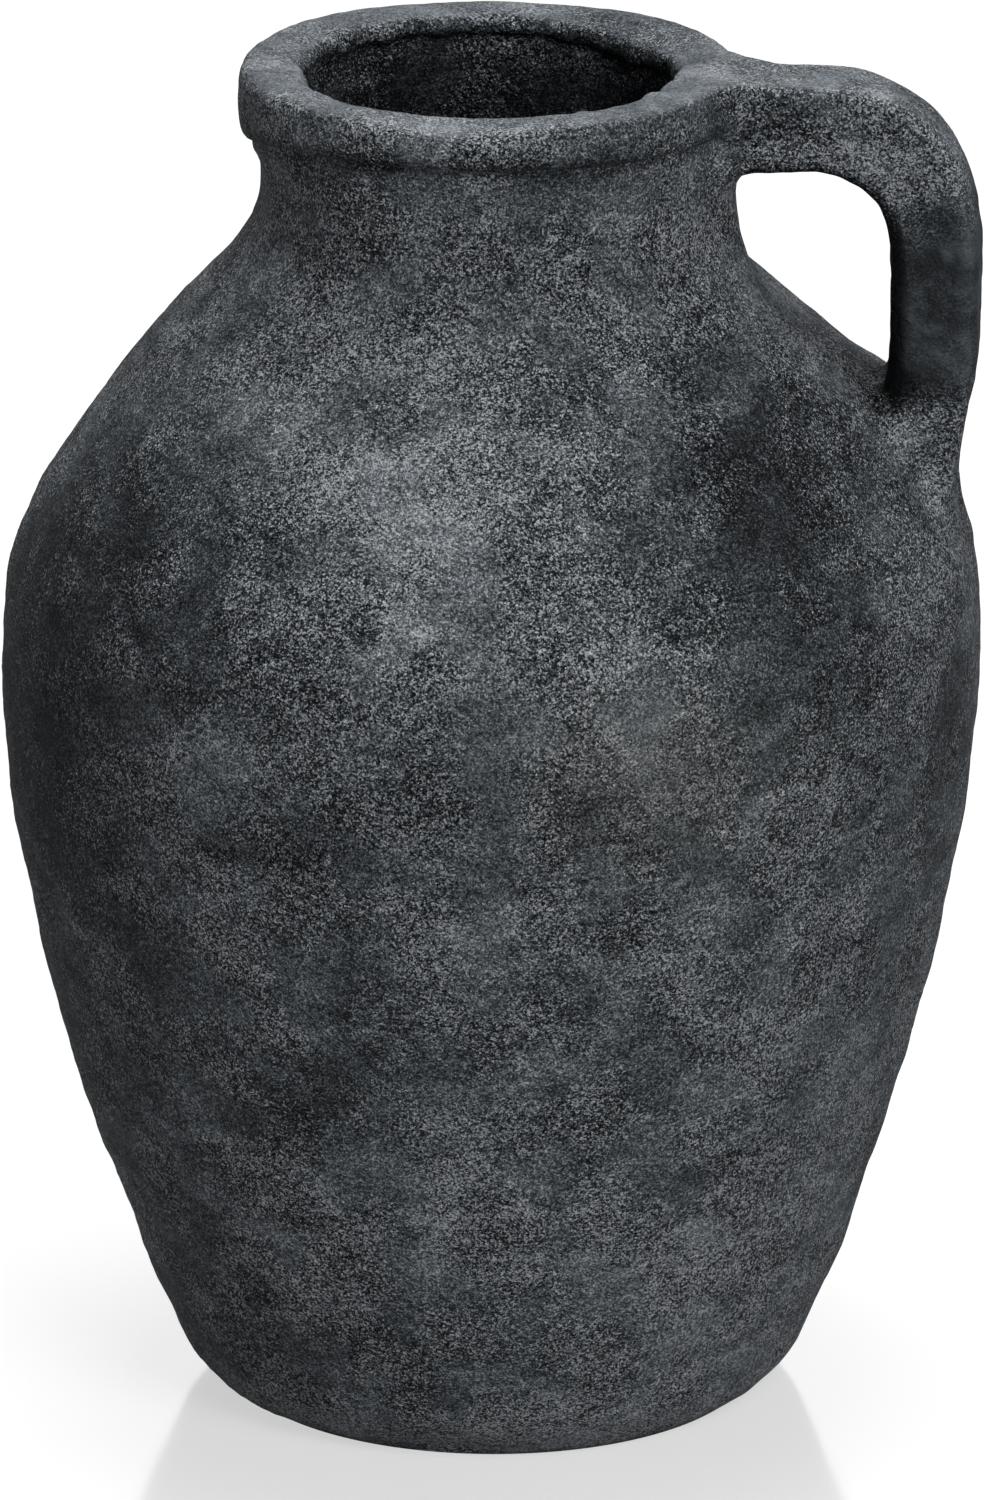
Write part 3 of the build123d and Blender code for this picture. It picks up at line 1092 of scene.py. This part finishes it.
class Nodes:
    """A short way to add nodes and links to a material or a world."""

    def __init__(self, owner):
        owner.use_nodes = True
        self.tree = owner.node_tree
        self.tree.nodes.clear()

    def add(self, kind, inputs=None, **settings):
        """A node with its settings. An input is linked if it is another node's output."""
        node = self.tree.nodes.new(kind)
        for key, value in settings.items():
            setattr(node, key, value)
        for key, value in (inputs or {}).items():
            if isinstance(value, bpy.types.NodeSocket):
                self.tree.links.new(value, node.inputs[key])
            else:
                node.inputs[key].default_value = value
        return node

    def math(self, operation, *values):
        """The result of an operation on values."""
        node = self.add("ShaderNodeMath", dict(enumerate(values)), operation=operation)
        return node.outputs[0]

    def plus(self, total, *parts):
        """The total, with the value of each part times its weight added to it."""
        for value, weight in parts:
            total = self.math("MULTIPLY_ADD", value, weight, total)
        return total

    def centred(self, value):
        """Noise moved so that it lies round 0."""
        return self.math("SUBTRACT", value, 0.5)

    def ramp(self, value, low, high):
        """Value from low to high, eased from 0 to 1."""
        node = self.add(
            "ShaderNodeMapRange",
            {"Value": value, "From Min": low, "From Max": high},
            interpolation_type="SMOOTHSTEP",
        )
        return node.outputs[0]

    def texture(self, kind, where, size, inputs=None, **settings):
        """A pattern with features about size millimetres across."""
        inputs = {"Vector": where, "Scale": 1 / (size * MM), **(inputs or {})}
        return self.add(kind, inputs, **settings)

    def noise(self, where, size, detail=3.0, roughness=0.5, distortion=0.0):
        """Noise from 0 to 1."""
        inputs = {"Detail": detail, "Roughness": roughness, "Distortion": distortion}
        return self.texture("ShaderNodeTexNoise", where, size, inputs).outputs["Fac"]

    def cells(self, where, size, feature="F1"):
        """Distance in a cell pattern."""
        node = self.texture("ShaderNodeTexVoronoi", where, size, feature=feature)
        return node.outputs["Distance"]

    def grains(self, where, size):
        """A random value for each grain of sand."""
        colour = self.texture("ShaderNodeTexVoronoi", where, size).outputs["Color"]
        return self.add("ShaderNodeSeparateColor", {"Color": colour}).outputs[0]

    def crinkles(self, where, size, width):
        """Thin curved lines, 1 on the line and 0 off it."""
        value = self.noise(where, size, detail=2, roughness=0.6, distortion=1.2)
        return self.ramp(self.math("ABSOLUTE", self.centred(value)), width, 0.0)

    def colours(self, value, stops):
        """The colour at value among stops of place and colour."""
        node = self.add("ShaderNodeValToRGB", {"Fac": value})
        ramp = node.color_ramp
        while len(ramp.elements) < len(stops):
            ramp.elements.new(0.5)
        for element, (place, colour) in zip(ramp.elements, stops):
            element.position = place
            element.color = (*colour, 1.0)
        return node.outputs["Color"]

    def seen_as_backdrop(self):
        """1 for what is seen directly, in a reflection or through glass, else 0."""
        path = self.add("ShaderNodeLightPath").outputs
        seen = self.math("MAXIMUM", path["Is Camera Ray"], path["Is Glossy Ray"])
        return self.math("MAXIMUM", seen, path["Is Transmission Ray"])


def charcoal_material():
    """Coarse charcoal clay: chalky clouds, crisp grit, crinkles with painted glints,
    creases with painted shade, wrinkles and pits.
    """
    material = bpy.data.materials.new("charcoal_clay")
    n = Nodes(material)
    where = n.add("ShaderNodeTexCoord").outputs["Object"]
    worn_and_top_lit, dark_inside, slick, buffed_and_highlit, pale_and_painted_light = (
        n.add("ShaderNodeAttribute", attribute_name=key).outputs["Fac"]
        for key in ("worn_and_top_lit", "dark_inside", "slick", "buffed_and_highlit", "pale_and_painted_light")
    )
    wiped = n.add("ShaderNodeVectorMath", {0: where, 1: WIPED}, operation="MULTIPLY")
    wiped = wiped.outputs[0]
    smooth = n.math("MAXIMUM", slick, n.math("MULTIPLY", buffed_and_highlit, SMOOTH_SHARE))
    smooth = n.math("MAXIMUM", smooth, n.math("MULTIPLY", worn_and_top_lit, SMOOTH_SHARE))
    rough = n.ramp(n.noise(where, 15, detail=2), 0.38, 0.62)
    least, more = ROUGH_CALM
    calm = n.plus(least, (rough, more))
    calm = n.math("MULTIPLY", n.plus(1.0, (smooth, SMOOTH_CALM)), calm)
    clouds = n.noise(where, 40, detail=3, roughness=0.55)
    blotches = n.noise(wiped, 12, detail=5, roughness=0.6, distortion=0.5)
    mottling = n.noise(wiped, 3.6, detail=3, roughness=0.55, distortion=0.8)
    speckle = n.noise(wiped, 1.4, detail=2, roughness=0.6, distortion=0.5)
    grit = n.noise(where, 0.36, detail=1, roughness=0.6)
    grains = n.grains(where, 0.36)
    # Crinkles: thin lines that are raised and painted paler as glints
    crinkles = n.crinkles(where, 2.2, 0.05)
    # Creases: thin lines that are sunk and painted darker as shade
    creases = n.crinkles(where, 1.5, 0.045)
    fine = n.plus(
        0.0,
        (n.centred(mottling), 1.5),
        (n.centred(speckle), 0.6),
        (n.centred(grit), 5.6),
        (n.centred(grains), 3.2),
        # Painted glints along the crinkles and painted shade in the creases
        (crinkles, 0.8),
        (creases, -0.9),
    )
    # The clay's tone, with painted shade and highlights carried in the pale attribute
    tone = n.plus(
        pale_and_painted_light,
        (n.centred(clouds), 2.9),
        (n.centred(blotches), 3.3),
        (fine, calm),
        # Paler tops, partly wear and partly painted light from above
        (worn_and_top_lit, 0.55),
        (slick, -1.1),
        # A painted highlight makes the buffed patch paler
        (buffed_and_highlit, 0.35),
        # Darker inside the mouth and behind the wall
        (dark_inside, -1.9),
    )
    colour = n.colours(n.plus(TONE_MIDDLE, (tone, TONE_SCALE)), TONES)
    # A painted warm highlight tints the buffed patch
    # The Mix node's sockets 0, 6 and 7 are its factor and its two colours
    share = n.math("MULTIPLY", buffed_and_highlit, HIGHLIGHT_TINT_SHARE)
    inputs = {0: share, 6: colour, 7: HIGHLIGHT_TINT}
    with_warm_highlight = n.add("ShaderNodeMix", inputs, data_type="RGBA", blend_type="MULTIPLY")
    drift = n.texture("ShaderNodeTexNoise", where, 6, {"Detail": 3.0}).outputs["Color"]
    inputs = {0: drift, "Scale": WRINKLE_DRIFT}
    drift = n.add("ShaderNodeVectorMath", inputs, operation="SCALE").outputs[0]
    bent = n.add("ShaderNodeVectorMath", {0: where, 1: drift}, operation="ADD").outputs[0]
    wrinkles = n.ramp(n.cells(bent, 9, "DISTANCE_TO_EDGE"), 0.045, 0.0)
    wrinkles = n.math("MULTIPLY", wrinkles, n.ramp(clouds, 0.45, 0.6))
    pits = n.ramp(n.cells(where, 3.4), 0.24, 0.1)
    pits = n.math("MULTIPLY", pits, n.ramp(mottling, 0.5, 0.62))
    relief = n.plus(
        0.0,
        (speckle, 0.85),
        (grit, 0.45),
        (grains, 0.05),
        (crinkles, 0.12),
        (creases, -0.2),
    )
    height = n.plus(
        0.0,
        (n.noise(where, 7, detail=3), 0.5),
        (mottling, 0.6),
        (relief, calm),
        (wrinkles, -0.16),
        (pits, -0.35),
    )
    bump = n.add(
        "ShaderNodeBump", {"Height": height, "Distance": BUMP_HEIGHT, "Strength": 1.0}
    )
    shader = n.add(
        "ShaderNodeBsdfPrincipled",
        {
            "Base Color": with_warm_highlight.outputs[2],
            "Roughness": n.plus(0.78, (tone, 0.04)),
            "Normal": bump.outputs[0],
            "Specular IOR Level": 0.03,
        },
    )
    n.add("ShaderNodeOutputMaterial", {"Surface": shader.outputs[0]})
    return material


# The stage: camera, floor, world and lights. The focal length and the photograph's height
# are in pixels, and the sensor is in millimetres.
CAMERA_DISTANCE = 3000.0
CAMERA_PITCH = 18.21
CAMERA_TURN = 4.5
CAMERA_TARGET = 124.4
AXIS_OFFSET = 0.57
FOCAL_PIXELS = 15761.0
PHOTO_HEIGHT = 1500.0
SENSOR = 36.0

FLOOR_REACH = 12.0
FLOOR_GREY = (0.28, 0.28, 0.28, 1.0)
FLOOR_GLOW = 0.58
WORLD_LIGHT = 0.1

# Square soft lights, in metres and watts: name, place, size and power
LIGHTS = (
    ("key", (0.85, -1.5, 1.3), 0.9, 33),
    ("fill", (-1.7, -1.0, 0.7), 1.0, 1.2),
    ("overhead", (0.0, 0.2, 2.1), 1.0, 40),
)
LIT_PLACE = (0, 0, 0.14)


def floor_material():
    """Plain white studio floor with a faint polish, seen by the camera as clean white."""
    material = bpy.data.materials.new("studio_floor")
    n = Nodes(material)
    shader = n.add(
        "ShaderNodeBsdfPrincipled",
        {
            "Base Color": FLOOR_GREY,
            "Roughness": 0.12,
            "Specular IOR Level": 0.8,
            "IOR": 1.8,
            "Emission Color": WHITE,
            "Emission Strength": n.math("MULTIPLY", n.seen_as_backdrop(), FLOOR_GLOW),
        },
    )
    n.add("ShaderNodeOutputMaterial", {"Surface": shader.outputs[0]})
    return material


def add_camera():
    """The camera at the photograph's viewing angle."""
    turn, pitch = radians(CAMERA_TURN), radians(CAMERA_PITCH)
    away = Vector((sin(turn) * cos(pitch), -cos(turn) * cos(pitch), sin(pitch)))
    right = Vector((cos(turn), sin(turn), 0))
    target = (Vector((0, 0, CAMERA_TARGET)) + right * AXIS_OFFSET) * MM
    data = bpy.data.cameras.new("camera")
    data.sensor_fit = "VERTICAL"
    data.sensor_height = SENSOR
    data.lens = FOCAL_PIXELS / PHOTO_HEIGHT * SENSOR
    camera = bpy.data.objects.new("camera", data)
    camera.location = target + away * CAMERA_DISTANCE * MM
    camera.rotation_euler = away.to_track_quat("Z", "Y").to_euler()
    bpy.context.scene.collection.objects.link(camera)
    bpy.context.scene.camera = camera


def add_floor():
    """The floor, level with the jug's underside."""
    mesh = bpy.data.meshes.new("studio_floor")
    corners = [(-1, -1), (1, -1), (1, 1), (-1, 1)]
    points = [(x * FLOOR_REACH, y * FLOOR_REACH, 0) for x, y in corners]
    mesh.from_pydata(points, [], [(0, 1, 2, 3)])
    floor = bpy.data.objects.new("studio_floor", mesh)
    bpy.context.scene.collection.objects.link(floor)
    mesh.materials.append(floor_material())


def add_lights():
    """The three soft lights, which all look at the jug."""
    for name, place, size, power in LIGHTS:
        data = bpy.data.lights.new(name, "AREA")
        data.size = size
        data.energy = power
        light = bpy.data.objects.new(name, data)
        light.location = place
        away = Vector(place) - Vector(LIT_PLACE)
        light.rotation_euler = away.to_track_quat("Z", "Y").to_euler()
        bpy.context.scene.collection.objects.link(light)


def add_world():
    """A dim world that is seen as white."""
    world = bpy.data.worlds.new("studio")
    bpy.context.scene.world = world
    n = Nodes(world)
    inputs = {"Value": n.seen_as_backdrop(), "To Min": WORLD_LIGHT, "To Max": 1.0}
    strength = n.add("ShaderNodeMapRange", inputs).outputs[0]
    background = n.add("ShaderNodeBackground", {"Color": WHITE, "Strength": strength})
    n.add("ShaderNodeOutputWorld", {"Surface": background.outputs[0]})


def main():
    """Sets the stage and dresses every CAD node with its piece of clay."""
    add_camera()
    add_floor()
    add_lights()
    add_world()
    clay = charcoal_material()
    pieces = make_turned_pieces()
    pieces["handle"] = make_handle()
    pieces.update(make_lutings())
    for node, piece in pieces.items():
        paint(piece.data, node)
        piece.data.materials.append(clay)
        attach(piece, "root")
        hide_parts(node)
    bpy.context.scene.view_settings.view_transform = "Standard"


main()
